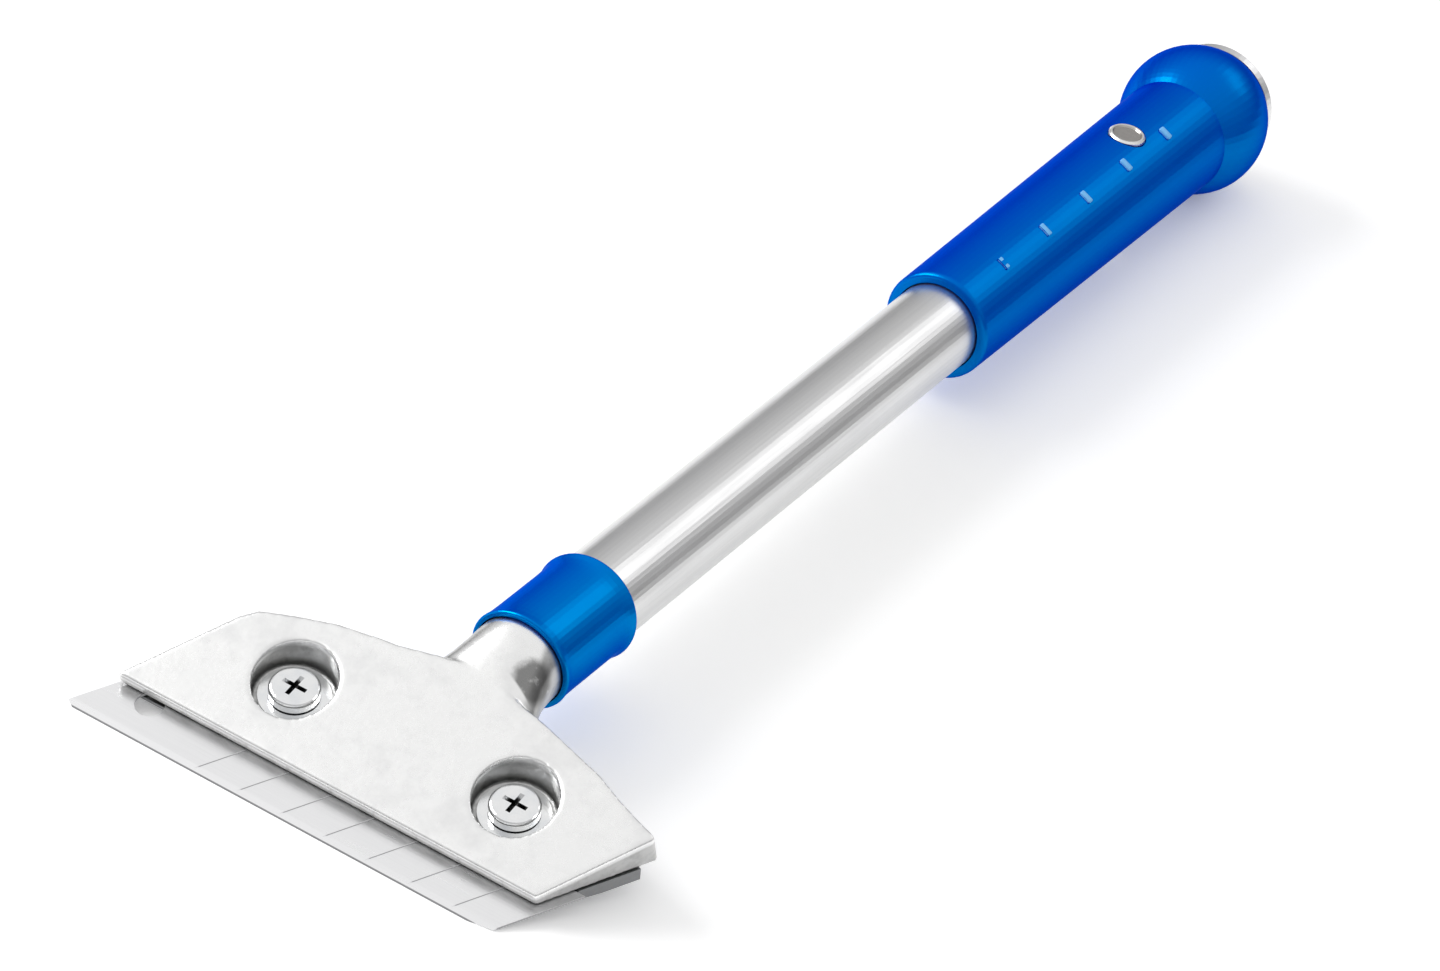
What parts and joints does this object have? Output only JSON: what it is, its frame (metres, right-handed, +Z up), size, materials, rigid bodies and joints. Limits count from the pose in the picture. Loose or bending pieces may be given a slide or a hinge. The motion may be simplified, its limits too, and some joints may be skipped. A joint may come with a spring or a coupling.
{
  "type": "floor scraper with clamped snap-off blade",
  "caption": "Long-handled metal scraper: cast head clamping a snap-off blade, aluminium tube, blue grip with a ball end and a steel hammer cap.",
  "frame": {"origin": "bottom centre of the bounding box, on the surface that the blade's edge and the ball of the grip stand on", "axes": "+Y along the handle from the head to the hammer cap, which lies 0.35 degrees off level, +X along the blade's edge, +Z up, out of the side with the screws"},
  "size_m": [0.1162, 0.3628, 0.0344],
  "materials": {
    "cast_metal": "satin",
    "blade_steel": "ground",
    "plate_steel": "satin",
    "screw_zinc": "bright zinc plated",
    "blue_grip": "satin gloss",
    "blue_collar": "satin gloss",
    "tube_satin": "drawn satin",
    "rivet_nickel": "nickel plated",
    "cap_chrome": "polished",
    "pin_steel": "oiled"
  },
  "bodies": {
    "tool": {"head_casting": "cast_metal", "screw_washer_left": "screw_zinc", "screw_washer_right": "screw_zinc", "neck_collar": "blue_collar", "neck_spring_pin": "pin_steel", "handle_tube": "tube_satin", "handle_grip": "blue_grip", "grip_rivet": "rivet_nickel", "strike_cap": "cap_chrome"},
    "left_screw": {"clamp_screw_left": "screw_zinc"},
    "right_screw": {"clamp_screw_right": "screw_zinc"},
    "clamp": {"clamp_plate": "plate_steel"},
    "blade": {"snap_blade": "blade_steel"}
  },
  "joints": [
    {"name": "left_screw_turn", "type": "hinge", "parent": "tool", "child": "left_screw", "pos_m": [-0.02171, -0.15643, 0.00697], "axis": [0, -0.2462, 0.9692], "range_deg": [0, 720]},
    {"name": "right_screw_turn", "type": "hinge", "parent": "tool", "child": "right_screw", "pos_m": [0.02999, -0.15643, 0.00697], "axis": [0, -0.2462, 0.9692], "range_deg": [0, 720]},
    {"name": "clamp_open", "type": "slide", "parent": "tool", "child": "clamp", "axis": [0, 0.2462, -0.9692], "range_m": [0, 0.0016]},
    {"name": "blade_slide", "type": "slide", "parent": "tool", "child": "blade", "axis": [-1, 0, 0], "range_m": [0, 0.1]}
  ],
  "couplings": [
    {"joint": "left_screw_turn", "follows": "clamp_open", "rad_per_m": 7854},
    {"joint": "right_screw_turn", "follows": "clamp_open", "rad_per_m": 7854}
  ]
}
